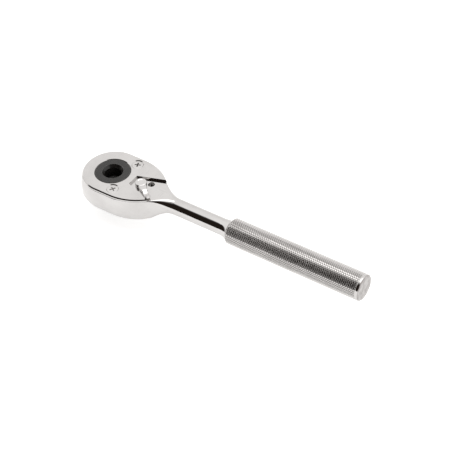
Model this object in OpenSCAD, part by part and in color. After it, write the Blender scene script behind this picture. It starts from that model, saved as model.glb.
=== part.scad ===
// 3/8 inch square-drive pear-head ratchet wrench, 180 mm long, in millimetres.
// Origin: centre of the drive square's end face. +X runs along the handle, +Z towards the cover plate.
// Each node is a separate solid with a real running clearance to its neighbours.

/* [Overall] */
// distance from the drive axis to the end of the handle
handle_reach = 161.6; // [150:0.1:175]
// head thickness, from its underside to the cover plate's top
head_thick = 15.0; // [12:0.1:17]

/* [Head] */
// radius of the round front of the cover plate
head_r = 17.2; // [16:0.1:18.5]
// how far the forged wall below it swells past the cover plate
swell = 1.3; // [0.4:0.1:1.6]
// radius of the two side curves that draw the head in towards the neck
side_r = 30; // [26:0.5:34]
// where along X those side curves begin
side_x = 10; // [8:0.1:12]
// cover plate thickness
plate_t = 1.4; // [1:0.1:2]
// half width of the notch where it begins
notch_w0 = 3.8; // [3:0.1:5]
// half width of the notch where it leaves the head
notch_w1 = 9.1; // [7:0.1:10]

/* [Handle] */
// neck radius
neck_r = 4.8; // [4:0.1:6]
// grip radius over the knurl's crests
grip_r = 7.4; // [6.5:0.1:8.5]
// start of the knurled grip
grip_x = 79.8; // [70:0.1:95]
// depth of the neck's axis below the cover plate's top
axis_drop = 6.27; // [5:0.01:8]

/* [Drive] */
// drive square, across the flats
square_af = 9.53; // [9.5:0.01:9.6]
// length of the drive square below the head
square_len = 9.5; // [8.5:0.1:11]
// number of teeth on the drive gear
teeth = 36; // [24:12:72]
// outside radius of the gear teeth
gear_r = 11.6; // [11:0.1:12]
// radius of the gear's upper hub, seen in the cover plate's opening
hub_r = 10.1; // [9:0.1:10.5]
// radius of the recess in the upper hub
recess_r = 6.05; // [5:0.05:7]
// depth of that recess, down to the start of its drill point
recess_deep = 8.0; // [4:0.5:9]

/* [Reversing lever] */
// distance from the drive axis to the lever's pivot
pivot_x = 19.5; // [19:0.1:21]
// angle of the lever each side of the handle
lever_a = 36.7; // [34:0.1:38]
// angle the pawl rocks each side of centre
pawl_a = 5.5; // [5:0.1:6]

/* [Hidden] */
$fn = 96;
head_z = square_len;
plate_top = head_z + head_thick;
plate_z = plate_top - plate_t;
axis_z = plate_top - axis_drop;
floor_z = head_z + 2.9;
web_z = plate_z - 2.1;
root_r = gear_r - 1.0;
screw_x = 8.6;
screw_y = 11.7;
detent_r = 5.66;
detent_a = 35.7;
plunger_z = 16.7;
ball_z = 4.6;

chrome = [0.86, 0.86, 0.85];
black = [0.13, 0.13, 0.14];
steel = [0.62, 0.63, 0.65];

// ---- shared shapes ----

// edge of the head's section from the bottom up: [distance past radius r, height], barrel-shaped by b
// and rounded into the bottom over e; with no swell it is a plain wall
function wall(z0, z1, e, b) = concat(
  [[-e, z0], [-0.55 * e, z0 + 0.1 * e], [-0.2 * e, z0 + 0.32 * e]],
  b == 0 ? [[0, z0 + e]] : [[0.1 * b, z0 + 0.62 * e], [0.55 * b, z0 + 1.1 * e], [0.86 * b, z0 + 1.8 * e],
    [b, z0 + 3 * e], [0.97 * b, z1 - 4.2], [0.8 * b, z1 - 2.6], [0.48 * b, z1 - 1.3], [0.2 * b, z1 - 0.5]],
  [[0, z1]]);

// half section of the head out to radius r
module rim(r, z0, z1, e, b) {
  polygon(concat([[0, z0]], [for (p = wall(z0, z1, e, b)) [r + p[0], p[1]]], [[0, z1]]));
}

// the two side curves, where two large discs overlap, up to x1
module side_curves(z0, z1, e, b, x1) {
  intersection() {
    translate([side_x, head_r - side_r, 0]) rotate_extrude($fn = 180) rim(side_r, z0, z1, e, b);
    translate([side_x, side_r - head_r, 0]) rotate_extrude($fn = 180) rim(side_r, z0, z1, e, b);
    translate([side_x - 0.6, -22, z0 - 1]) cube([x1 - side_x + 0.6, 44, z1 - z0 + 2]);
  }
}

// the head's round front and its parallel middle
module front_block(z0, z1, e, b) {
  edge = [for (p = wall(z0, z1, e, b)) [head_r - 0.03 + p[0], p[1]]];
  last = len(edge) - 1;
  rotate_extrude($fn = 180) rim(head_r, z0, z1, e, b);
  rotate([90, 0, 90]) linear_extrude(side_x)
    polygon(concat(edge, [for (i = [last : -1 : 0]) [-edge[i][0], edge[i][1]]]));
}

// turn a profile of [x, radius] points about the handle's axis
module about_handle(points) {
  translate([0, 0, axis_z]) rotate([0, 90, 0]) rotate_extrude() rotate(90) mirror([0, 1]) polygon(points);
}

// a wedge of half angle a, opening towards +X from [0, 0]
module wedge(a, r, z0, z1) {
  translate([0, 0, z0]) linear_extrude(z1 - z0)
    polygon([[0, 0], [r * cos(a), -r * sin(a)], [r * 1.4, 0], [r * cos(a), r * sin(a)]]);
}

// round wire of radius w wound on radius r; the section is drawn where a level plane cuts the coil
module coil(r, w, pitch, length) {
  linear_extrude(height = length, twist = -360 * length / pitch, slices = round(11 * length / pitch), $fn = 4)
    polygon([for (a = [0 : 30 : 330]) let (q = r + w * cos(a), t = 360 * w * sin(a) / pitch)
      [q * cos(t), q * sin(t)]]);
}

// ---- body: one forging with the head shell, the neck and the grip ----

module body_solid() {
  front_block(head_z, plate_z, 1.6, swell);
  intersection() {
    side_curves(head_z, plate_z, 1.6, swell, 37);
    about_handle([[0, 0], [0, 32], [20, 32], [27, 13.6], [31, 10.2], [35, 7.4], [38.5, 5.6], [39, 0]]);
  }
  intersection() {
    about_handle(concat([[27, 0]],
      [for (x = [27 : 1 : 43]) [x, 22 + neck_r - sqrt(484 - (43.67 - x) * (43.67 - x))]],
      [[44.5, neck_r], [72.5, neck_r], [74.5, neck_r + 0.12], [76.5, neck_r + 0.5], [78.5, neck_r + 1.1],
        [grip_x - 0.6, neck_r + 1.9], [grip_x, grip_r - 0.45], [grip_x + 0.4, grip_r - 0.05],
        [grip_x + 0.7, grip_r], [handle_reach - 0.6, grip_r], [handle_reach, grip_r - 0.6],
        [handle_reach, 0]]));
    union() {
      translate([20, -20, head_z]) cube([27, 40, plate_z - head_z]);
      translate([44, -20, 0]) cube([130, 40, 40]);
    }
  }
}

module body() {
  color(chrome) difference() {
    body_solid();
    // gear pocket and the opening the drive square leaves by
    translate([0, 0, floor_z]) cylinder(r = gear_r + 0.15, h = 20);
    translate([0, 0, head_z - 1]) cylinder(r = 8.0, h = 6);
    // pawl chamber, under the web that carries the lever
    intersection() {
      translate([0, 0, floor_z]) cylinder(r = 17.3, h = web_z - floor_z);
      wedge(47, 30, floor_z - 1, web_z + 1);
    }
    translate([pivot_x, 0, floor_z]) cylinder(r = 8.0, h = web_z - floor_z);
    // lever bearing in the web, its foot in the floor and the clip's counterbore
    translate([pivot_x, 0, web_z - 1]) cylinder(r = 2.95, h = 4);
    translate([pivot_x, 0, head_z - 1]) cylinder(r = 2.35, h = 6);
    translate([pivot_x, 0, head_z - 1]) cylinder(r = 4.1, h = 2.4);
    // the two detent holes in the web
    for (s = [-1, 1])
      translate([pivot_x + detent_r * cos(detent_a), s * detent_r * sin(detent_a), web_z - 0.5])
        cylinder(r = 1.85, h = 4);
    // screw holes, with the lower part of each countersink
    for (s = [-1, 1]) {
      translate([screw_x, s * screw_y, plate_z - 8.5]) cylinder(r = 1.52, h = 10);
      translate([screw_x, s * screw_y, plate_z - 0.75]) cylinder(r1 = 1.45, r2 = 2.25, h = 0.8);
    }
  }
}

// ---- cover plate ----

module cover_plate() {
  color(chrome) difference() {
    union() {
      front_block(plate_z, plate_top - 0.25, 0.02, 0);
      translate([0, 0, plate_top - 0.26]) cylinder(r1 = head_r, r2 = head_r - 0.25, h = 0.26, $fn = 180);
      translate([0, -head_r + 0.26, plate_top - 0.3]) cube([side_x, 2 * head_r - 0.52, 0.3]);
      side_curves(plate_z, plate_top - 0.25, 0.02, 0, 30.2);
      intersection() {
        translate([side_x, head_r - side_r, plate_top - 0.3])
          cylinder(r1 = side_r, r2 = side_r - 0.25, h = 0.3, $fn = 180);
        translate([side_x, side_r - head_r, plate_top - 0.3])
          cylinder(r1 = side_r, r2 = side_r - 0.25, h = 0.3, $fn = 180);
        translate([side_x - 0.5, -20, plate_z]) cube([30.2 - side_x + 0.3, 40, 3]);
      }
    }
    translate([0, 0, plate_z - 1]) cylinder(r = hub_r + 0.06, h = 4);
    // the notch
    translate([0, 0, plate_z - 1]) linear_extrude(4)
      polygon([[14, -notch_w0], [29.3, -notch_w1], [34, -notch_w1 - 1.6], [34, notch_w1 + 1.6],
        [29.3, notch_w1], [14, notch_w0]]);
    for (s = [-1, 1]) {
      translate([screw_x, s * screw_y, plate_z - 1]) cylinder(r = 1.7, h = 4);
      translate([screw_x, s * screw_y, plate_z - 0.01]) cylinder(r1 = 2.2, r2 = 3.6, h = plate_t + 0.02);
    }
  }
}

// ---- cover screws: two countersunk screws with a cross recess ----

module one_screw(turn) {
  difference() {
    union() {
      translate([0, 0, plate_z - 8]) cylinder(r = 1.49, h = 9);
      translate([0, 0, plate_top - 2.05]) cylinder(r1 = 1.45, r2 = 3.3, h = 1.85);
      translate([0, 0, plate_top - 0.2]) cylinder(r = 3.3, h = 0.1);
    }
    for (a = [0, 90])
      rotate(turn + a) translate([-1.75, -0.36, plate_top - 1.5]) cube([3.5, 0.72, 2]);
    translate([0, 0, plate_top - 1.9]) cylinder(r1 = 0.3, r2 = 1.05, h = 2);
  }
}

module cover_screws() {
  color(chrome) {
    translate([screw_x, screw_y, 0]) one_screw(22);
    translate([screw_x, -screw_y, 0]) one_screw(58);
  }
}

// ---- drive gear: teeth, black upper hub with its recess, and the drive square below ----

module drive_gear() {
  color(black) difference() {
    union() {
      translate([0, 0, floor_z + 0.05]) linear_extrude(plate_z - 0.1 - floor_z - 0.05)
        polygon([for (i = [0 : teeth - 1]) for (k = [[-3.7, root_r], [-1.3, gear_r], [1.3, gear_r], [3.7, root_r]])
          let (a = (i * 10 + 5 + k[0]) * 36 / teeth) [k[1] * cos(a), k[1] * sin(a)]]);
      translate([0, 0, plate_z - 1]) cylinder(r = hub_r, h = plate_t + 0.7);
      translate([0, 0, plate_top - 0.31]) cylinder(r1 = hub_r, r2 = hub_r - 0.3, h = 0.31);
      translate([0, 0, head_z]) cylinder(r = 7.94, h = 4);
      intersection() {
        translate([-square_af / 2, -square_af / 2, 0]) cube([square_af, square_af, head_z + 1]);
        union() {
          translate([0, 0, 0.9]) cylinder(r = 6.35, h = head_z + 1);
          cylinder(r1 = 5.2, r2 = 6.35, h = 0.91);
        }
        rotate(45) cylinder(r1 = 4.1 * sqrt(2), r2 = 14.1 * sqrt(2), h = 10, $fn = 4);
      }
    }
    // recess in the upper hub: a steep countersink over a deep blind bore with a drill-point floor
    translate([0, 0, plate_top - 1.7]) cylinder(r1 = recess_r - 1.2, r2 = recess_r + 0.02, h = 1.72);
    translate([0, 0, plate_top - recess_deep]) cylinder(r = recess_r - 1.2, h = recess_deep - 1.6);
    translate([0, 0, plate_top - recess_deep - 1.2]) cylinder(r1 = 0.2, r2 = recess_r - 1.2, h = 1.21);
    // cross hole for the socket-retaining ball, with a lip at its mouth
    translate([0, -4.5, ball_z]) rotate([-90, 0, 0]) cylinder(r = 1.65, h = 7.3);
    translate([0, -6, ball_z]) rotate([-90, 0, 0]) cylinder(r = 1.5, h = 3);
  }
}

module drive_ball() {
  color(steel) translate([0, -3.9, ball_z]) sphere(r = 1.6);
}

module drive_spring() {
  color(steel) translate([0, 2.75, ball_z]) rotate([90, 0, 0]) coil(1.12, 0.22, 0.85, 4.95);
}

// ---- reversing lever: hub, arm, thumb tab and the shaft that carries the pawl ----

module at_lever() {
  translate([pivot_x, 0, 0]) rotate(-lever_a) children();
}

// side view of the lever's arm and thumb tab: [distance from the pivot, height]
module arm_profile() {
  polygon([[0, plate_z + 0.2], [11.2, plate_z + 0.2], [12.4, plate_top + 0.1], [13.9, plate_top + 0.5],
    [13.9, plate_top + 1.5], [13.2, plate_top + 1.6], [11.4, plate_top + 0.3], [10, plate_top - 0.1],
    [8.6, plate_top], [7.2, plate_top + 0.6], [0, plate_top + 0.8]]);
}

module lever() {
  color(chrome) at_lever() difference() {
    union() {
      translate([0, 0, plate_z + 0.05]) cylinder(r = 3.3, h = 2.3);
      translate([0, 0, plate_z + 2.34]) cylinder(r1 = 3.3, r2 = 2.7, h = 0.4);
      intersection() {
        rotate([90, 0, 0]) translate([0, 0, -4]) linear_extrude(8) arm_profile();
        translate([0, 0, plate_z]) linear_extrude(5)
          polygon([[0, -2.2], [8, -1.5], [12.6, -1.55], [13.5, -1.2], [13.9, -0.5], [13.9, 0.5],
            [13.5, 1.2], [12.6, 1.55], [8, 1.5], [0, 2.2]]);
      }
      translate([0, 0, floor_z - 0.4]) cylinder(r = 2.9, h = plate_z - floor_z + 1);
      translate([0, 0, head_z + 0.2]) cylinder(r = 2.3, h = 3);
    }
    // groove for the clip
    difference() {
      translate([0, 0, head_z + 0.55]) cylinder(r = 3.5, h = 0.75);
      translate([0, 0, head_z]) cylinder(r = 1.8, h = 3);
    }
    // the foot stays inside the floor's bore
    difference() {
      translate([0, 0, floor_z - 0.5]) cylinder(r = 4, h = 0.55);
      translate([0, 0, floor_z - 1]) cylinder(r = 2.3, h = 2);
    }
    // blind hole for the pawl plunger and its spring
    translate([-2.1, 0, plunger_z]) rotate([0, 90, 0]) cylinder(r = 1.25, h = 8);
    // blind hole from below for the detent ball and its spring
    translate([detent_r, 0, plate_z - 1]) cylinder(r = 0.84, h = 2.85);
  }
}

module lever_clip() {
  color(steel) at_lever() difference() {
    translate([0, 0, head_z + 0.6]) cylinder(r = 3.5, h = 0.65);
    translate([0, 0, head_z]) cylinder(r = 1.85, h = 3);
    translate([0, -0.9, head_z]) cube([5, 1.8, 3]);
  }
}

module lever_ball() {
  color(steel) at_lever() translate([detent_r, 0, plate_z + 0.83]) sphere(r = 0.8);
}

module lever_spring() {
  color(steel) at_lever() translate([detent_r, 0, plate_z + 1.3]) difference() {
    cylinder(r = 0.78, h = 0.52);
    translate([0, 0, -1]) cylinder(r = 0.5, h = 3);
    translate([0, 0, -0.47]) sphere(r = 0.83);
  }
}

// ---- pawl: two toothed wings on a ring about the lever's shaft ----

// one tooth at polar angle a, shaped to stand in a gap of the gear
module pawl_tooth(a, slim) {
  rotate(a) polygon([[10.8 * cos(1.2 - slim), -10.8 * sin(1.2 - slim)], [11.6 * cos(3.1 - slim), -11.6 * sin(3.1 - slim)],
    [13.9 * cos(4.6), -13.9 * sin(4.6)], [13.9 * cos(4.6), 13.9 * sin(4.6)],
    [11.6 * cos(3.1 - slim), 11.6 * sin(3.1 - slim)], [10.8 * cos(1.2 - slim), 10.8 * sin(1.2 - slim)]]);
}

// rock a shape about the pivot
module rocked(a) {
  translate([pivot_x, 0]) rotate(a) translate([-pivot_x, 0]) children();
}

module pawl() {
  color(steel) rocked(pawl_a) difference() {
    union() {
      translate([pivot_x, 0, floor_z + 0.1]) cylinder(r = 6.9, h = web_z - floor_z - 0.2);
      intersection() {
        translate([pivot_x, 0, floor_z + 0.1]) cylinder(r = 7.3, h = web_z - floor_z - 0.2);
        translate([pivot_x, 0, 0]) wedge(78, 20, floor_z, web_z);
      }
      intersection() {
        difference() {
          translate([0, 0, floor_z + 0.1]) cylinder(r = 15.6, h = web_z - floor_z - 0.2);
          translate([0, 0, floor_z]) cylinder(r = 13.15, h = 20);
        }
        wedge(45, 30, floor_z, web_z);
      }
      translate([0, 0, floor_z + 0.1]) linear_extrude(web_z - floor_z - 0.2) {
        rocked(-pawl_a) pawl_tooth(40, 0);
        rocked(-pawl_a) pawl_tooth(30, 0.5);
        rocked(pawl_a) pawl_tooth(-40, 0);
        rocked(pawl_a) pawl_tooth(-30, 0.5);
      }
    }
    translate([pivot_x, 0, floor_z - 1]) cylinder(r = 2.95, h = 20);
    // pocket for the plunger, deeper each side of a low ridge in the middle
    for (s = [-1, 1]) intersection() {
      translate([pivot_x + 0.25, s * 0.7, plunger_z - 1.4]) cylinder(r = 5.3, h = 2.8);
      translate([pivot_x, 0, 0]) wedge(72, 20, plunger_z - 2, plunger_z + 2);
    }
  }
}

module pawl_plunger() {
  color(steel) at_lever() translate([1.4, 0, plunger_z]) rotate([0, 90, 0]) rotate_extrude()
    polygon(concat([[0, 0], [1.2, 0]], [for (a = [0 : 10 : 80]) [1.2 * cos(a), 2.79 + 1.2 * sin(a)]], [[0, 3.99]]));
}

module pawl_spring() {
  color(steel) at_lever() translate([-2.05, 0, plunger_z]) rotate([0, 90, 0]) coil(0.9, 0.19, 0.68, 3.4);
}

body();
cover_plate();
cover_screws();
drive_gear();
drive_ball();
drive_spring();
lever();
lever_clip();
lever_ball();
lever_spring();
pawl();
pawl_plunger();
pawl_spring();
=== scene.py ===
"""Looks for a 3/8 inch square-drive pear-head ratchet wrench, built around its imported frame.

Metres, +X along the handle, +Z towards the cover plate, origin at the end of the drive square.
Helper lengths are written in millimetres and pass through MM.
"""
import math

import bpy
import bmesh
import numpy as np
from mathutils import Matrix, Vector


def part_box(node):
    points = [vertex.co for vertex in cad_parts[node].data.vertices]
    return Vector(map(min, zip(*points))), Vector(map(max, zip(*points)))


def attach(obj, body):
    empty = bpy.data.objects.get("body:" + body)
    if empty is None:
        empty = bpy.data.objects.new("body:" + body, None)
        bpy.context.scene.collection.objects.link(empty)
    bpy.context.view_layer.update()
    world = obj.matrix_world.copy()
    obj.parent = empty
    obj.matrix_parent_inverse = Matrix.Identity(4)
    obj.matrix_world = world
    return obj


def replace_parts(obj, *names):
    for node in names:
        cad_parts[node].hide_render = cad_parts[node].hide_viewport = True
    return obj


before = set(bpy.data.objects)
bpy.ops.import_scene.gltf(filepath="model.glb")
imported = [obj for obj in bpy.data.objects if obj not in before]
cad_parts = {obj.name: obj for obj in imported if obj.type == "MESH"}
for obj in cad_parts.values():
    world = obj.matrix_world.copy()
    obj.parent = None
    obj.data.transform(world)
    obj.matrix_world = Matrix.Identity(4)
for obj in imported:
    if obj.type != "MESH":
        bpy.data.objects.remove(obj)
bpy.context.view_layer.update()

MM = 0.001

# ---- driving sizes, in millimetres, taken from the frame where a node gives them ----

body_low, body_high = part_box("body")
plate_low, plate_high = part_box("cover_plate")
HEAD_LOW = body_low.z / MM
DECK = plate_low.z / MM
TOP = plate_high.z / MM
HEAD_R = -plate_low.x / MM
REACH = body_high.x / MM
GRIP_R = 7.4
AXIS_Z = TOP - 6.27
NECK_R = 4.8
SIDE_R = 30.0
SIDE_X = 10.0
SWELL = 1.28
OGEE_R = 22.0
NECK_X = 43.67
GRIP_X = 79.8
END_ROUND = 0.95
HUB_R = 10.1
PLATE_BEVEL = 0.6
SCREW_X = 8.6
SCREW_Y = 11.7
PIVOT_X = 19.5
LEVER_A = math.radians(36.7)
DETENT_R = 5.66
DETENT_A = math.radians(35.7)
GEAR_POCKET_R = 11.75
CHAMBER_R = 17.3
FLOOR_Z = HEAD_LOW + 2.9
WEB_Z = DECK - 2.1


# ---- mesh helpers ----

def closed_object(name, verts, faces):
    """An object from vertices in millimetres and a list of faces: doubles merged, normals outwards."""
    mesh = bpy.data.meshes.new(name)
    mesh.from_pydata((np.asarray(verts, float) * MM).tolist(), [], faces)
    piece = bpy.data.objects.new(name, mesh)
    bpy.context.scene.collection.objects.link(piece)
    clean(mesh)
    return piece


def new_piece(name, verts, faces, body, smooth_angle=32):
    """A closed object on its body, sharp where faces meet at more than smooth_angle degrees."""
    piece = closed_object(name, verts, np.asarray(faces).tolist())
    finish_shading(piece.data, smooth_angle)
    if body:
        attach(piece, body)
    return piece


def clean(mesh, distance=2e-6):
    """Merge doubled vertices, drop empty faces and turn the faces outwards."""
    work = bmesh.new()
    work.from_mesh(mesh)
    bmesh.ops.remove_doubles(work, verts=work.verts, dist=distance)
    bmesh.ops.dissolve_degenerate(work, edges=work.edges, dist=distance / 2)
    bmesh.ops.recalc_face_normals(work, faces=work.faces)
    work.to_mesh(mesh)
    work.free()


def finish_shading(mesh, smooth_angle):
    """Smooth faces, with sharp edges where two faces meet at more than smooth_angle degrees."""
    mesh.polygons.foreach_set("use_smooth", np.ones(len(mesh.polygons), bool))
    mesh.set_sharp_from_angle(angle=math.radians(smooth_angle))
    mesh.update()


def grid_faces(rows, columns, wrap_rows=False, wrap_columns=False):
    """Quads of a grid whose point (i, j) is number i * columns + j, closed on itself where asked."""
    i, j = np.meshgrid(np.arange(rows if wrap_rows else rows - 1),
                       np.arange(columns if wrap_columns else columns - 1), indexing="ij")
    i2, j2 = (i + 1) % rows, (j + 1) % columns
    corners = [i * columns + j, i * columns + j2, i2 * columns + j2, i2 * columns + j]
    return np.stack(corners, -1).reshape(-1, 4)


def arc(centre, radius, start, end, steps):
    """Points on a circular arc: centre + radius * (cos a, sin a), a running from start to end degrees."""
    a = np.radians(np.linspace(start, end, steps + 1))
    return np.stack([centre[0] + radius * np.cos(a), centre[1] + radius * np.sin(a)], 1)


def turned_points(profile, centre, steps):
    """A profile of (radius, height) points turned about the vertical line through centre:
    x = cx + r cos a, y = cy + r sin a, z = height."""
    profile = np.asarray(profile, float)
    a = np.linspace(0, 2 * math.pi, steps, endpoint=False)
    r, z = profile[:, 0], profile[:, 1]
    x = centre[0] + np.outer(np.cos(a), r)
    y = centre[1] + np.outer(np.sin(a), r)
    return np.stack([x, y, np.broadcast_to(z, x.shape)], -1).reshape(-1, 3)


def turned(name, profile, centre, body=None, steps=128, smooth_angle=32):
    """A solid of revolution about a vertical line; the profile starts and ends on that line."""
    faces = grid_faces(steps, len(profile), wrap_rows=True)
    return new_piece(name, turned_points(profile, centre, steps), faces, body, smooth_angle)


def prism(name, outline, low, high):
    """An outline of (x, y) points carried straight up from low to high and closed at both ends."""
    outline = np.asarray(outline, float)
    count = len(outline)
    ring = np.arange(count)
    verts = np.concatenate([np.column_stack([outline, np.full(count, z)]) for z in (low, high)])
    sides = np.stack([ring, (ring + 1) % count, (ring + 1) % count + count, ring + count], 1).tolist()
    return closed_object(name, verts, sides + [ring[::-1].tolist(), (ring + count).tolist()])


def cut(piece, cutters, operation="DIFFERENCE", smooth_angle=32):
    """Take each cutter out of the piece, or join it on, with exact booleans; the cutters are then removed."""
    for cutter in cutters:
        change = piece.modifiers.new("cut", "BOOLEAN")
        change.operation = operation
        change.solver = "EXACT"
        change.object = cutter
        bpy.context.view_layer.update()
        done = bpy.data.meshes.new_from_object(piece.evaluated_get(bpy.context.evaluated_depsgraph_get()))
        piece.modifiers.clear()
        old = piece.data
        piece.data = done
        done.name = piece.name
        bpy.data.meshes.remove(old)
        bpy.data.objects.remove(cutter)
    clean(piece.data, 1e-6)
    finish_shading(piece.data, smooth_angle)
    return piece


# ---- shapes ----

def smooth_step(x, start, end):
    """0 before start, 1 after end, and 3t^2 - 2t^3 between them."""
    t = np.clip((np.asarray(x, float) - start) / (end - start), 0, 1)
    return t * t * (3 - 2 * t)


def ogee(x):
    """Radius of the shoulder that draws the head into the neck: a circle of OGEE_R tangent to the neck."""
    reach = np.clip(NECK_X - np.asarray(x, float), 0, 17)
    return OGEE_R + NECK_R - np.sqrt(OGEE_R ** 2 - reach ** 2)


def head_half_width(x):
    """Half width across Y: parallel to SIDE_X, then a large side curve, handed over to the ogee where the two
    run side by side."""
    x = np.asarray(x, float)
    side = HEAD_R - SIDE_R + np.sqrt(SIDE_R ** 2 - np.clip(x - SIDE_X, 0, 28) ** 2)
    hand_over = smooth_step(x, 28.0, 32.0)
    return side * (1 - hand_over) + ogee(x) * hand_over


def swelling(z, x):
    """How far the forged wall stands out past the plate: nothing at the deck and at the bottom edge, SWELL at
    mid height, fading out along the side curve."""
    rise = smooth_step(z, HEAD_LOW + 0.4, HEAD_LOW + 4.4)
    fall = 1 - np.clip((z - (DECK - 5.6)) / 5.6, 0, 1) ** 2
    return SWELL * rise * fall * (1 - smooth_step(x, 12.0, 26.0))


def neck_radius(x):
    """Radius of the neck and of the flare that swells into the grip."""
    x = np.asarray(x, float)
    flare = np.clip((x - 72.5) / (GRIP_X - 72.5), 0, 1)
    return NECK_R + 2.15 * flare ** 2.6


def rounded_half(width, low, high, low_r, high_r, arc_steps=8, flat_steps=5):
    """Half of a rounded rectangle, from the bottom centre out to the side and back to the top centre:
    straight runs joined by quarter circles of low_r and high_r. All inputs are arrays with one value a rib;
    the result is (ribs, points, 2) with columns y and z."""
    t = np.linspace(0, math.pi / 2, arc_steps + 1)
    low_arc = np.stack([(width - low_r)[:, None] + low_r[:, None] * np.sin(t),
                        (low + low_r)[:, None] - low_r[:, None] * np.cos(t)], -1)
    high_arc = np.stack([(width - high_r)[:, None] + high_r[:, None] * np.cos(t),
                         (high - high_r)[:, None] + high_r[:, None] * np.sin(t)], -1)
    across = np.concatenate([np.linspace(0, 1, flat_steps, endpoint=False) ** 0.6 * 0.97, [0.985]])
    flat = (len(width), len(across))
    bottom = np.stack([(width - low_r)[:, None] * across, np.broadcast_to(low[:, None], flat)], -1)
    top = np.stack([(width - high_r)[:, None] * across[::-1], np.broadcast_to(high[:, None], flat)], -1)
    up = np.linspace(0.02, 0.98, 15)
    wall_low, wall_high = low + low_r, high - high_r
    wall = np.stack([np.broadcast_to(width[:, None], (len(width), len(up))),
                     wall_low[:, None] + (wall_high - wall_low)[:, None] * up], -1)
    return np.concatenate([bottom, low_arc, wall, high_arc, top], 1)


def ribbed(half_front, half_back, back_x):
    """A shell of ribs: the front rib is turned about the drive axis through half a circle, and the back ribs
    stand across X at back_x. Each rib runs from the bottom centre line, out to one side and up to the top
    centre line; the other side is its mirror."""
    turn = np.radians(np.linspace(180, 90, 46))
    x = np.outer(np.cos(turn), half_front[:, 0])
    y = np.outer(np.sin(turn), half_front[:, 0])
    fan = np.stack([x, y, np.broadcast_to(half_front[:, 1], x.shape)], -1)
    back = np.concatenate([np.broadcast_to(back_x[:, None, None], half_back.shape[:2] + (1,)), half_back], -1)
    side = np.concatenate([fan, back])
    rows, columns = side.shape[:2]
    far = side.reshape(-1, 3)
    near = far * (1, -1, 1)
    faces = grid_faces(rows, columns)
    verts = np.concatenate([far, near])
    return verts, np.concatenate([faces, faces[:, ::-1] + len(far)]), rows, columns


def close_end(rows, columns):
    """The last rib of both sides as one face, so that the shell's back is shut."""
    last = (rows - 1) * columns + np.arange(columns)
    return [last.tolist() + (last[::-1] + rows * columns).tolist()]


def shell(name, verts, faces, end, body):
    """A ribbed shell with its shut end, made into a piece."""
    piece = closed_object(name, verts, faces.tolist() + end)
    finish_shading(piece.data, 32)
    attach(piece, body)
    return piece


# ---- the forging: head, neck and flare ----

def head_cutters():
    """The pockets and bores that the mechanism sits in, each a turned or straight-sided cutter."""
    drive = turned("cutter", [(0, HEAD_LOW - 2), (8.0, HEAD_LOW - 2), (8.0, FLOOR_Z),
                              (GEAR_POCKET_R, FLOOR_Z), (GEAR_POCKET_R, TOP + 1), (0, TOP + 1)], (0, 0))
    pivot = turned("cutter", [(0, HEAD_LOW - 2), (4.35, HEAD_LOW - 2), (4.35, HEAD_LOW),
                              (4.1, HEAD_LOW + 0.25), (4.1, HEAD_LOW + 1.4),
                              (2.35, HEAD_LOW + 1.4), (2.35, FLOOR_Z), (8.0, FLOOR_Z),
                              (8.0, WEB_Z), (2.95, WEB_Z), (2.95, DECK - 0.15), (3.1, DECK), (3.1, TOP + 1),
                              (0, TOP + 1)], (PIVOT_X, 0))
    fan = 47
    chamber_outline = np.concatenate([arc((0, 0), CHAMBER_R, -fan, fan, 32),
                                      arc((0, 0), GEAR_POCKET_R - 1.2, fan, -fan, 24)])
    chamber = prism("cutter", chamber_outline, FLOOR_Z, WEB_Z)
    cutters = [drive, pivot, chamber]
    for side in (-1, 1):
        centre = (PIVOT_X + DETENT_R * math.cos(DETENT_A), side * DETENT_R * math.sin(DETENT_A))
        cutters.append(turned("cutter", [(0, WEB_Z - 0.5), (1.85, WEB_Z - 0.5), (1.85, DECK - 0.12),
                                         (1.97, DECK), (1.97, TOP + 1), (0, TOP + 1)], centre, steps=48))
        cutters.append(turned("cutter", [(0, DECK - 8.5), (1.52, DECK - 8.5), (1.52, DECK - 0.7),
                                         (2.25, DECK + 0.03), (2.25, TOP + 1), (0, TOP + 1)],
                              (SCREW_X, side * SCREW_Y), steps=48))
    return cutters


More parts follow.
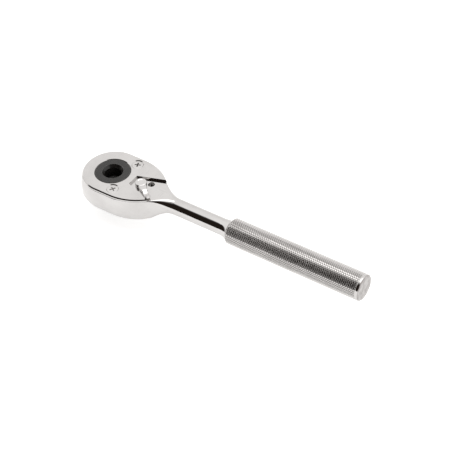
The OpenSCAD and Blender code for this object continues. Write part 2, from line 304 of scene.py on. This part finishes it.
def forged_body():
    """Head shell, ogee, neck and flare as one loft. The half section starts as a rectangle with a crisp top
    edge, a wall that swells at mid height and a softly rounded bottom edge, and its corners grow until it is
    the neck's full circle."""
    x = np.concatenate([np.linspace(0.01, SIDE_X, 6), np.linspace(SIDE_X + 1, 26, 18),
                        np.linspace(26.6, 48, 60), np.linspace(49, 72, 24), np.linspace(72.6, GRIP_X, 24),
                        [GRIP_X + 0.25, GRIP_X + 0.5]])
    radius = np.where(x < NECK_X, ogee(x), neck_radius(x))
    radius[-2:] = GRIP_R - 0.75
    width = np.where(x < NECK_X, head_half_width(x), radius)
    low = AXIS_Z - np.minimum(AXIS_Z - HEAD_LOW, radius)
    high = AXIS_Z + np.minimum(DECK - AXIS_Z, radius)
    round_off = smooth_step(x, 27.5, 43.0)
    low_r = np.minimum(1.5 + (NECK_R - 1.5) * smooth_step(x, 24.0, 42.0), radius)
    high_r = np.minimum(0.08 + (NECK_R - 0.08) * round_off, radius)
    low_r = np.where(x >= 43, radius, np.minimum(low_r, width))
    high_r = np.where(x >= 43, radius, np.minimum(high_r, width))
    low_r, high_r = np.minimum(low_r, (high - low) / 2), np.minimum(high_r, (high - low) / 2)
    half_back = rounded_half(width, low, high, low_r, high_r)
    outer = np.clip(half_back[..., 0] / width[:, None] - 0.8, 0, 0.2) / 0.2
    half_back[..., 0] += swelling(half_back[..., 1], x[:, None]) * outer
    one = np.ones(1)
    half_front = rounded_half(HEAD_R * one, HEAD_LOW * one, DECK * one, 1.5 * one, 0.08 * one)[0]
    outer = np.clip(half_front[:, 0] / HEAD_R - 0.8, 0, 0.2) / 0.2
    half_front[:, 0] += swelling(half_front[:, 1], 0.0) * outer
    verts, faces, rows, columns = ribbed(half_front, half_back, x)
    piece = shell("forged_body", verts, faces, close_end(rows, columns), "housing")
    return cut(piece, head_cutters())


# ---- the knurled grip ----

def knurled_grip():
    """Diamond knurl on a cylinder: radius = crest - depth * (1 - h), where h is six times the smaller
    distance, in pitches, to the nearest of two sets of helical grooves, clipped to 1 so that the
    crests are flat pads between narrow grooves. Six steps a pitch put a vertex in every groove crossing."""
    starts, per_pitch, depth = 34, 6, 0.19
    pitch = 1.37
    first, last = GRIP_X + 0.15, REACH - 2.1
    turns = int((last - first) / pitch)
    around = starts * per_pitch
    along = turns * per_pitch + 1
    i, j = np.meshgrid(np.arange(along), np.arange(around), indexing="ij")
    plus, minus = (i + j) / per_pitch, (i - j) / per_pitch
    near_plus = np.abs(plus - np.round(plus))
    near_minus = np.abs(minus - np.round(minus))
    height = np.clip(6 * np.minimum(near_plus, near_minus), 0, 1)
    fade = np.clip(np.minimum(i, (along - 1) - i), 0, 1)
    radius = GRIP_R - depth * (1 - height) * fade - depth * (1 - fade) * 0.75
    a = 2 * math.pi * j / around
    x = first + i * (last - first) / (along - 1)
    verts = np.stack([x, radius * np.cos(a), AXIS_Z + radius * np.sin(a)], -1).reshape(-1, 3)
    jn = (j + 1) % around
    p00, p01 = i * around + j, i * around + jn
    inner = slice(0, along - 1)
    a00, a01, a10, a11 = p00[inner], p01[inner], p00[1:], p01[1:]
    diagonal = (i[inner] + j[inner] + 1) % per_pitch
    beside = np.isin(diagonal, (1, per_pitch - 1)) & ((i[inner] - j[inner]) % per_pitch != 0)
    rising = (diagonal != 0) & ~beside
    tri_1 = np.where(rising[..., None], np.stack([a00, a01, a11], -1), np.stack([a00, a01, a10], -1))
    tri_2 = np.where(rising[..., None], np.stack([a00, a11, a10], -1), np.stack([a01, a11, a10], -1))
    faces = np.concatenate([tri_1.reshape(-1, 3), tri_2.reshape(-1, 3)]).tolist()
    verts = verts.tolist()
    # the plain shoulder before the knurl and the plain band, chamfer and flat face after it
    start = [(GRIP_X - 0.9, 0.0), (GRIP_X - 0.9, 6.1), (GRIP_X - 0.2, GRIP_R - 0.62), (GRIP_X, GRIP_R - 0.42)]
    rounding = arc((REACH - END_ROUND, GRIP_R - END_ROUND), END_ROUND, 90, 0, 8)
    end = [(last + 0.12, GRIP_R - 0.16), (last + 0.35, GRIP_R - 0.03), (last + 0.6, GRIP_R)]
    end += [tuple(point) for point in rounding] + [(REACH, 3.2), (REACH, 0.0)]
    angle = 2 * math.pi * np.arange(around) / around
    ring = np.arange(around)
    nxt = (ring + 1) % around

    def add_rings(profile, join, forwards):
        """Rings of (x, radius), joined to the ring of vertices in join."""
        previous = join
        for px, pr in profile:
            base = len(verts)
            circle = [np.full(around, px), pr * np.cos(angle), AXIS_Z + pr * np.sin(angle)]
            verts.extend(np.stack(circle, -1).tolist())
            now = base + ring
            quads = np.stack([previous, previous[nxt], now[nxt], now], -1)
            faces.extend((quads if forwards else quads[:, ::-1]).tolist())
            previous = now

    add_rings(end, (along - 1) * around + ring, True)
    add_rings(start[::-1], ring.copy(), False)
    piece = closed_object("knurled_grip", verts, faces)
    finish_shading(piece.data, 24)
    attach(piece, "housing")
    return piece


# ---- cover plate and its screws ----

def cover_plate():
    """The plate follows the head's outline with a rounded top edge; the hub opening, the notch and the two
    countersinks are cut from it."""
    end = 30.2
    x = np.concatenate([np.linspace(0.01, SIDE_X, 6), np.linspace(SIDE_X + 1, end, 26)])
    width = head_half_width(x) - 0.02
    one = np.ones(len(x))
    edge_low = 0.05
    half_back = rounded_half(width, (DECK + 0.02) * one, TOP * one, edge_low * one, PLATE_BEVEL * one,
                             arc_steps=1)
    half_front = rounded_half(HEAD_R * one[:1], (DECK + 0.02) * one[:1], TOP * one[:1], edge_low * one[:1],
                              PLATE_BEVEL * one[:1], arc_steps=1)[0]
    verts, faces, rows, columns = ribbed(half_front, half_back, x)
    piece = shell("top_plate", verts, faces, close_end(rows, columns), "housing")
    cutters = [turned("cutter", [(0, DECK - 1), (HUB_R + 0.07, DECK - 1), (HUB_R + 0.07, TOP - 0.22),
                                 (HUB_R + 0.29, TOP), (HUB_R + 0.29, TOP + 1), (0, TOP + 1)], (0, 0),
                      steps=160),
               prism("cutter", [(14, -3.8), (29.3, -9.1), (36, -11.5), (36, 11.5), (29.3, 9.1), (14, 3.8)],
                     DECK - 1, TOP + 1)]
    for side in (-1, 1):
        cutters.append(turned("cutter", [(0, DECK - 1), (1.7, DECK - 1), (1.7, DECK - 0.01),
                                         (2.2, DECK + 0.01), (3.6, TOP), (3.6, TOP + 1), (0, TOP + 1)],
                              (SCREW_X, side * SCREW_Y), steps=72))
    cut(piece, cutters)
    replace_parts(piece, "cover_plate")
    return piece


def cover_screw(name, side, turn):
    """A countersunk screw: a turned head and shank, with a cross recess whose slots narrow downwards."""
    top = TOP - 0.34
    centre = (SCREW_X, side * SCREW_Y)
    profile = [(0, DECK - 8), (1.1, DECK - 8), (1.46, DECK - 7.6), (1.46, top - 1.95), (3.0, top - 0.3),
               (3.14, top - 0.14), (3.1, top - 0.03), (2.95, top), (1.6, top + 0.03), (0, top + 0.04)]
    screw = turned(name, profile, centre, "housing", steps=72)
    cutters = []
    for quarter in (0, math.pi / 2):
        c, s = math.cos(turn + quarter), math.sin(turn + quarter)
        length, width = 1.85, 0.42
        low = np.array([(-0.9, -0.16), (0.9, -0.16), (0.9, 0.16), (-0.9, 0.16)])
        high = np.array([(-length, -width), (length, -width), (length, width), (-length, width)])
        rings = []
        for outline, z in ((low, top - 1.35), (high, top + 0.2)):
            rings.append(np.column_stack([centre[0] + outline[:, 0] * c - outline[:, 1] * s,
                                          centre[1] + outline[:, 0] * s + outline[:, 1] * c, np.full(4, z)]))
        sides = [[0, 1, 5, 4], [1, 2, 6, 5], [2, 3, 7, 6], [3, 0, 4, 7]]
        cutters.append(closed_object("cutter", np.concatenate(rings), [[3, 2, 1, 0], [4, 5, 6, 7]] + sides))
    return cut(screw, cutters)


# ---- reversing lever ----

def lever_sections(distance):
    """Half width, underside and top of the lever's arm at a distance from its pivot: a thick root, a waist
    where the thumb slides, and a raised thumb tab with a blunt end."""
    d = np.asarray(distance, float)
    width = 2.25 - 0.75 * smooth_step(d, 1.5, 8.0) + 0.12 * smooth_step(d, 9.5, 11.8)
    width = width * np.sqrt(np.clip(1 - smooth_step(d, 12.4, 14.6), 0.03, 1))
    top = TOP + 0.85 - 0.95 * smooth_step(d, 6.0, 9.6) + 1.7 * smooth_step(d, 10.4, 13.0)
    low = DECK + 0.25 + 1.15 * smooth_step(d, 10.6, 13.2) + 0.4 * smooth_step(d, 12.6, 13.9)
    return width, low, top


def thumb_lever():
    """A turned hub with a domed top, and an arm lofted from rounded sections that ends in the thumb tab."""
    hub = turned("thumb_lever", [(0, FLOOR_Z - 2.4), (1.75, FLOOR_Z - 2.4), (1.8, FLOOR_Z + 0.3),
                                 (2.85, FLOOR_Z + 0.3), (2.85, DECK + 0.06), (3.2, DECK + 0.06),
                                 (3.3, DECK + 0.2), (3.3, TOP + 0.55),
                                 (3.22, TOP + 0.8), (3.02, TOP + 0.98), (2.7, TOP + 1.06), (2.25, TOP + 1.02),
                                 (1.95, TOP + 0.86), (1.7, TOP + 0.8), (0, TOP + 0.86)], (0, 0),
                 "reversing_lever", steps=96)
    d = np.concatenate([np.linspace(0.2, 12.2, 50), np.linspace(12.35, 13.9, 18)])
    width, low, top = lever_sections(d)
    corner = np.minimum(0.42, np.minimum(width, (top - low) / 2) * 0.96)
    half = rounded_half(width, low, top, corner, corner, arc_steps=6, flat_steps=4)
    rows, columns = half.shape[:2]
    side = np.concatenate([np.broadcast_to(d[:, None, None], (rows, columns, 1)), half], -1).reshape(-1, 3)
    faces = grid_faces(rows, columns)
    first = np.arange(columns)
    root = [first[::-1].tolist() + (first + rows * columns).tolist()]
    mirrored = (faces[:, ::-1] + rows * columns).tolist()
    arm = closed_object("arm", np.concatenate([side, side * (1, -1, 1)]),
                        faces.tolist() + mirrored + root + close_end(rows, columns))
    cut(hub, [arm], "UNION")
    place = Matrix.Translation((PIVOT_X * MM, 0, 0)) @ Matrix.Rotation(-LEVER_A, 4, "Z")
    hub.data.transform(place)
    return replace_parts(hub, "lever")


# ---- node groups: effects that several finishes share ----

def start_group(name, inputs, outputs):
    """A shader node group with named value inputs and outputs, and its two end nodes."""
    group = bpy.data.node_groups.new(name, "ShaderNodeTree")
    for label, kind, value in inputs:
        socket = group.interface.new_socket(name=label, in_out="INPUT", socket_type=kind)
        if value is not None:
            socket.default_value = value
    for label, kind in outputs:
        group.interface.new_socket(name=label, in_out="OUTPUT", socket_type=kind)
    return group, group.nodes.new("NodeGroupInput"), group.nodes.new("NodeGroupOutput")


def math_node(tree, operation, first, second=None, clamp=False):
    """A Math node; each input is a number or an output socket."""
    node = tree.nodes.new("ShaderNodeMath")
    node.operation = operation
    node.use_clamp = clamp
    for slot_number, value in enumerate((first, second)):
        if value is None:
            continue
        if isinstance(value, (int, float)):
            node.inputs[slot_number].default_value = value
        else:
            tree.links.new(value, node.inputs[slot_number])
    return node.outputs[0]


def noise_node(tree, vector, scale, detail=3.0, roughness=0.55):
    """A 3D noise pattern in object space."""
    node = tree.nodes.new("ShaderNodeTexNoise")
    node.inputs["Scale"].default_value = scale
    node.inputs["Detail"].default_value = detail
    node.inputs["Roughness"].default_value = roughness
    tree.links.new(vector, node.inputs["Vector"])
    return node.outputs["Fac"]


def map_node(tree, value, low, high, to_low=0.0, to_high=1.0, smooth=True):
    """A Map Range node from low..high to to_low..to_high."""
    node = tree.nodes.new("ShaderNodeMapRange")
    node.interpolation_type = "SMOOTHSTEP" if smooth else "LINEAR"
    tree.links.new(value, node.inputs["Value"])
    for label, number in (("From Min", low), ("From Max", high), ("To Min", to_low), ("To Max", to_high)):
        node.inputs[label].default_value = number
    return node.outputs["Result"]


def edge_wear_group():
    """Mask of rubbed edges: how far a bevelled normal leans away from the true one, broken up by noise."""
    group, ends_in, ends_out = start_group("edge wear", [("Width", "NodeSocketFloat", 0.0004),
                                                         ("Amount", "NodeSocketFloat", 1.0)],
                                           [("Mask", "NodeSocketFloat")])
    bevel = group.nodes.new("ShaderNodeBevel")
    bevel.samples = 4
    group.links.new(ends_in.outputs["Width"], bevel.inputs["Radius"])
    geometry = group.nodes.new("ShaderNodeNewGeometry")
    lean = group.nodes.new("ShaderNodeVectorMath")
    lean.operation = "DOT_PRODUCT"
    group.links.new(bevel.outputs["Normal"], lean.inputs[0])
    group.links.new(geometry.outputs["Normal"], lean.inputs[1])
    coords = group.nodes.new("ShaderNodeTexCoord").outputs["Object"]
    worn = map_node(group, math_node(group, "SUBTRACT", 1.0, lean.outputs["Value"]), 0.01, 0.12)
    patches = map_node(group, noise_node(group, coords, 900, 4.0), 0.35, 0.6, 0.35, 1.0)
    patchy = math_node(group, "MULTIPLY", worn, patches)
    mask = math_node(group, "MULTIPLY", patchy, ends_in.outputs["Amount"], True)
    group.links.new(mask, ends_out.inputs["Mask"])
    return group


def polish_group():
    """Buffed plating: slow waves left by the wheel, a faint cloud of haze, and fine hairline scratches along
    and across the part. Puts out a haze mask, a scratch mask and a gently waved normal."""
    group, ends_in, ends_out = start_group("buffed plating", [("Wave", "NodeSocketFloat", 0.1),
                                                              ("Scratch", "NodeSocketFloat", 0.1)],
                                           [("Haze", "NodeSocketFloat"), ("Scratches", "NodeSocketFloat"),
                                            ("Normal", "NodeSocketVector")])
    coords = group.nodes.new("ShaderNodeTexCoord").outputs["Object"]
    haze = map_node(group, noise_node(group, coords, 70, 4.0), 0.3, 0.75)
    lines = []
    for turn, stretch in ((0.35, (60, 1800, 1800)), (-0.8, (1500, 90, 1500)), (1.2, (1700, 120, 1700))):
        mapping = group.nodes.new("ShaderNodeMapping")
        mapping.inputs["Rotation"].default_value = (0.2 * turn, 0.3 * turn, turn)
        mapping.inputs["Scale"].default_value = stretch
        group.links.new(coords, mapping.inputs["Vector"])
        line = noise_node(group, mapping.outputs["Vector"], 1.0, 2.0)
        lines.append(map_node(group, line, 0.66, 0.74))
    scratches = math_node(group, "MAXIMUM", math_node(group, "MAXIMUM", lines[0], lines[1]), lines[2])
    wave = noise_node(group, coords, 110, 1.0)
    slow = group.nodes.new("ShaderNodeBump")
    slow.inputs["Distance"].default_value = 0.0004
    group.links.new(ends_in.outputs["Wave"], slow.inputs["Strength"])
    group.links.new(wave, slow.inputs["Height"])
    fine = group.nodes.new("ShaderNodeBump")
    fine.invert = True
    fine.inputs["Distance"].default_value = 0.00002
    group.links.new(ends_in.outputs["Scratch"], fine.inputs["Strength"])
    group.links.new(scratches, fine.inputs["Height"])
    group.links.new(slow.outputs["Normal"], fine.inputs["Normal"])
    group.links.new(haze, ends_out.inputs["Haze"])
    group.links.new(scratches, ends_out.inputs["Scratches"])
    group.links.new(fine.outputs["Normal"], ends_out.inputs["Normal"])
    return group


EDGE_WEAR = edge_wear_group()
POLISH = polish_group()


def use_group(tree, group, **values):
    """Place a node group with its own input values."""
    node = tree.nodes.new("ShaderNodeGroup")
    node.node_tree = group
    for label, value in values.items():
        node.inputs[label].default_value = value
    return node


def mix_colours(tree, factor, first, second):
    """Blend two colours, or a socket and a colour, by a mask."""
    node = tree.nodes.new("ShaderNodeMix")
    node.data_type = "RGBA"
    for slot_number, value in ((0, factor), (6, first), (7, second)):
        if isinstance(value, tuple):
            node.inputs[slot_number].default_value = value + (1.0,)
        elif isinstance(value, (int, float)):
            node.inputs[slot_number].default_value = value
        else:
            tree.links.new(value, node.inputs[slot_number])
    return node.outputs[2]


def start_material(name, metallic):
    """A material with one Principled shader, whose uniform values are set on its own sockets."""
    material = bpy.data.materials.new(name)
    material.use_nodes = True
    tree = material.node_tree
    shader = tree.nodes["Principled BSDF"]
    shader.inputs["Metallic"].default_value = metallic
    return material, tree, shader


# ---- finishes ----

BRIGHT_CHROME = (0.600, 0.588, 0.580)
HAZED_CHROME = (0.540, 0.528, 0.520)
SCRATCH_GREY = (0.47, 0.46, 0.455)


def chrome(name, wave, scratch, roughness):
    """Polished chrome plate: clear reflections that wander a little, haze, hairlines and rubbed edges."""
    material, tree, shader = start_material(name, 1.0)
    polish = use_group(tree, POLISH, Wave=wave, Scratch=scratch)
    wear = use_group(tree, EDGE_WEAR, Width=0.00035, Amount=0.6)
    colour = mix_colours(tree, polish.outputs["Haze"], BRIGHT_CHROME, HAZED_CHROME)
    faint = math_node(tree, "MULTIPLY", polish.outputs["Scratches"], 0.35)
    colour = mix_colours(tree, faint, colour, SCRATCH_GREY)
    tree.links.new(colour, shader.inputs["Base Color"])
    rough = map_node(tree, polish.outputs["Haze"], 0.0, 1.0, roughness, roughness + 0.05)
    rough = math_node(tree, "ADD", rough, math_node(tree, "MULTIPLY", polish.outputs["Scratches"], 0.10))
    rough = math_node(tree, "ADD", rough, math_node(tree, "MULTIPLY", wear.outputs["Mask"], 0.08))
    tree.links.new(rough, shader.inputs["Roughness"])
    tree.links.new(polish.outputs["Normal"], shader.inputs["Normal"])
    return material


def knurl_chrome():
    """Plated knurl: bright crests, and duller grooves with painted shade in them, found by distance from the
    handle's axis.
    """
    material, tree, shader = start_material("knurled chrome", 1.0)
    polish = use_group(tree, POLISH, Wave=0.10, Scratch=0.1)
    coords = tree.nodes.new("ShaderNodeTexCoord").outputs["Object"]
    split = tree.nodes.new("ShaderNodeSeparateXYZ")
    tree.links.new(coords, split.inputs[0])
    across = math_node(tree, "POWER", split.outputs["Y"], 2.0)
    rise = math_node(tree, "POWER", math_node(tree, "SUBTRACT", split.outputs["Z"], AXIS_Z * MM), 2.0)
    distance = math_node(tree, "SQRT", math_node(tree, "ADD", across, rise))
    groove = map_node(tree, distance, (GRIP_R - 0.22) * MM, (GRIP_R - 0.10) * MM, 1.0, 0.0)
    uneven = map_node(tree, noise_node(tree, coords, 260, 3.0), 0.3, 0.7, 0.45, 1.0)
    groove_shade_and_dulling = math_node(tree, "MULTIPLY", groove, uneven)
    colour = mix_colours(tree, polish.outputs["Haze"], (0.600, 0.586, 0.577), (0.53, 0.515, 0.505))
    # painted shade: the groove colour is pulled towards near black, patchy by noise, standing in for the
    # shade that falls in the grooves
    colour = mix_colours(tree, math_node(tree, "MULTIPLY", groove_shade_and_dulling, 0.70), colour, (0.16, 0.142, 0.134))
    tree.links.new(colour, shader.inputs["Base Color"])
    rough = map_node(tree, groove_shade_and_dulling, 0.0, 1.0, 0.06, 0.22)
    tree.links.new(rough, shader.inputs["Roughness"])
    tree.links.new(polish.outputs["Normal"], shader.inputs["Normal"])
    return material


def black_oxide():
    """Blackened hardened steel: near black, a dull sheen, brown in patches, rubbed bright at its edges."""
    material, tree, shader = start_material("black oxide", 0.0)
    coords = tree.nodes.new("ShaderNodeTexCoord").outputs["Object"]
    wear = use_group(tree, EDGE_WEAR, Width=0.00025, Amount=0.75)
    polish = use_group(tree, POLISH, Wave=0.1, Scratch=0.4)
    patches = map_node(tree, noise_node(tree, coords, 160, 5.0), 0.35, 0.7)
    colour = mix_colours(tree, patches, (0.010, 0.009, 0.0085), (0.018, 0.0155, 0.014))
    faint = math_node(tree, "MULTIPLY", polish.outputs["Scratches"], 0.3)
    colour = mix_colours(tree, faint, colour, (0.05, 0.047, 0.045))
    colour = mix_colours(tree, wear.outputs["Mask"], colour, (0.34, 0.33, 0.32))
    tree.links.new(colour, shader.inputs["Base Color"])
    tree.links.new(math_node(tree, "MULTIPLY", wear.outputs["Mask"], 0.9), shader.inputs["Metallic"])
    fine = map_node(tree, noise_node(tree, coords, 1500, 3.0), 0.3, 0.7, 0.24, 0.34)
    tree.links.new(fine, shader.inputs["Roughness"])
    tree.links.new(polish.outputs["Normal"], shader.inputs["Normal"])
    return material


def plain_steel():
    """Oiled spring and pawl steel: grey, finely ground, with darker oil patches."""
    material, tree, shader = start_material("oiled steel", 1.0)
    coords = tree.nodes.new("ShaderNodeTexCoord").outputs["Object"]
    polish = use_group(tree, POLISH, Wave=0.1, Scratch=0.6)
    wear = use_group(tree, EDGE_WEAR, Width=0.0002, Amount=0.5)
    patches = map_node(tree, noise_node(tree, coords, 300, 4.0), 0.35, 0.7)
    colour = mix_colours(tree, patches, (0.50, 0.50, 0.50), (0.33, 0.31, 0.29))
    colour = mix_colours(tree, wear.outputs["Mask"], colour, (0.62, 0.62, 0.62))
    tree.links.new(colour, shader.inputs["Base Color"])
    rough = map_node(tree, polish.outputs["Scratches"], 0.0, 1.0, 0.24, 0.42)
    tree.links.new(rough, shader.inputs["Roughness"])
    tree.links.new(polish.outputs["Normal"], shader.inputs["Normal"])
    return material


def paint(piece, material):
    """Give a piece one finish on all its faces."""
    piece.data.materials.clear()
    piece.data.materials.append(material)


# ---- make the pieces ----

CHROME_BODY = chrome("bright chrome", 0.10, 0.12, 0.035)
CHROME_PLATE = chrome("plate chrome", 0.10, 0.20, 0.05)
CHROME_SMALL = chrome("small parts chrome", 0.20, 0.20, 0.06)
KNURL_CHROME = knurl_chrome()
BLACK_OXIDE = black_oxide()
PLAIN_STEEL = plain_steel()

body_piece = forged_body()
paint(body_piece, CHROME_BODY)
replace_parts(body_piece, "body")
grip_piece = knurled_grip()
paint(grip_piece, KNURL_CHROME)
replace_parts(grip_piece, "body")
paint(cover_plate(), CHROME_PLATE)
for screw_name, screw_side, screw_turn in (("far_cover_screw", 1, 22), ("near_cover_screw", -1, 58)):
    screw_piece = cover_screw(screw_name, screw_side, math.radians(screw_turn))
    paint(screw_piece, CHROME_SMALL)
    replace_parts(screw_piece, "cover_screws")
paint(thumb_lever(), CHROME_SMALL)
paint(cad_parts["drive_gear"], BLACK_OXIDE)
finish_shading(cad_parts["drive_gear"].data, 32)
for steel_node in ("drive_ball", "drive_spring", "lever_clip", "lever_ball", "lever_spring", "pawl",
                   "pawl_plunger", "pawl_spring"):
    paint(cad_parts[steel_node], PLAIN_STEEL)


# ---- floor, light and camera ----

def pale_floor():
    """A wide light table just under the drive square, so that polished sides reflect a clean white ground."""
    half = 8000.0
    steps = 3
    line = np.linspace(-half, half, steps)
    x, y = np.meshgrid(line, line, indexing="ij")
    verts = np.stack([x, y, np.full_like(x, -0.05)], -1).reshape(-1, 3)
    mesh = bpy.data.meshes.new("floor")
    mesh.from_pydata((verts * MM).tolist(), [], grid_faces(steps, steps)[:, ::-1].tolist())
    floor = bpy.data.objects.new("floor", mesh)
    bpy.context.scene.collection.objects.link(floor)
    material, tree, shader = start_material("pale floor", 0.0)
    coords = tree.nodes.new("ShaderNodeTexCoord").outputs["Object"]
    cloud = noise_node(tree, coords, 3.0, 2.0)
    colour = mix_colours(tree, cloud, (0.57, 0.57, 0.57), (0.59, 0.588, 0.585))
    tree.links.new(colour, shader.inputs["Base Color"])
    shader.inputs["Roughness"].default_value = 0.9
    shader.inputs["Specular IOR Level"].default_value = 0.1
    shader.inputs["Emission Color"].default_value = (1.0, 0.995, 0.99, 1.0)
    shader.inputs["Emission Strength"].default_value = 0.76
    paint(floor, material)


def studio_dome():
    """A white tent round the part with one black flag on the near side: bright everywhere except between the
    flag's two bearings and under its top edge, which the tilted chrome surfaces pick up as a dark band."""
    world = bpy.data.worlds.new("white tent")
    bpy.context.scene.world = world
    world.use_nodes = True
    tree = world.node_tree
    background = tree.nodes["Background"]
    coords = tree.nodes.new("ShaderNodeTexCoord").outputs["Generated"]
    split = tree.nodes.new("ShaderNodeSeparateXYZ")
    tree.links.new(coords, split.inputs[0])
    height = math_node(tree, "ARCSINE", split.outputs["Z"])
    bearing = math.radians(-85)
    along = math_node(tree, "ADD", math_node(tree, "MULTIPLY", split.outputs["X"], math.cos(bearing)),
                      math_node(tree, "MULTIPLY", split.outputs["Y"], math.sin(bearing)))
    across = math_node(tree, "SUBTRACT", math_node(tree, "MULTIPLY", split.outputs["Y"], math.cos(bearing)),
                       math_node(tree, "MULTIPLY", split.outputs["X"], math.sin(bearing)))
    swing = math_node(tree, "ABSOLUTE", math_node(tree, "ARCTAN2", across, along))
    inside = map_node(tree, swing, math.radians(60), math.radians(70), 1.0, 0.0)
    under_top = map_node(tree, height, math.radians(50), math.radians(82), 1.0, 0.0)
    flag = math_node(tree, "MULTIPLY", inside, under_top)
    sky = mix_colours(tree, map_node(tree, height, 0.0, 1.5), (1.10, 1.085, 1.075), (1.30, 1.29, 1.28))
    colour = mix_colours(tree, flag, sky, (0.022, 0.016, 0.013))
    seen = tree.nodes.new("ShaderNodeLightPath").outputs["Is Camera Ray"]
    tree.links.new(mix_colours(tree, seen, colour, (1.25, 1.25, 1.25)), background.inputs["Color"])


def soft_top_light():
    """One large soft light high over the part, which lifts the floor and rounds the edges with highlights."""
    light = bpy.data.lights.new("top light", "AREA")
    light.shape = "DISK"
    light.size = 1.6
    light.energy = 6
    top_light = bpy.data.objects.new("top light", light)
    top_light.location = (0.1, 0.25, 1.7)
    towards = Vector((0.06, 0, 0.02)) - top_light.location
    top_light.rotation_euler = towards.to_track_quat("-Z", "Y").to_euler()
    bpy.context.scene.collection.objects.link(top_light)


def camera():
    """A long lens looking down on the cover plate from the near side, rolled a little clockwise."""
    data = bpy.data.cameras.new("camera")
    data.lens = 120
    data.sensor_width = 36
    data.clip_start = 0.01
    data.clip_end = 50
    eye = Vector((0.42217, -0.47070, 0.57455))
    aim = Vector((0.07789, -0.00362, 0.02450))
    roll = math.radians(-3.468)
    forward = (aim - eye).normalized()
    level = forward.cross(Vector((0, 0, 1))).normalized()
    upright = level.cross(forward)
    right = level * math.cos(roll) + upright * math.sin(roll)
    up = right.cross(forward)
    place = Matrix((right, up, -forward)).transposed().to_4x4()
    place.translation = eye
    obj = bpy.data.objects.new("camera", data)
    obj.matrix_world = place
    bpy.context.scene.collection.objects.link(obj)
    bpy.context.scene.camera = obj


pale_floor()
studio_dome()
soft_top_light()
camera()
bpy.context.scene.view_settings.view_transform = "Standard"
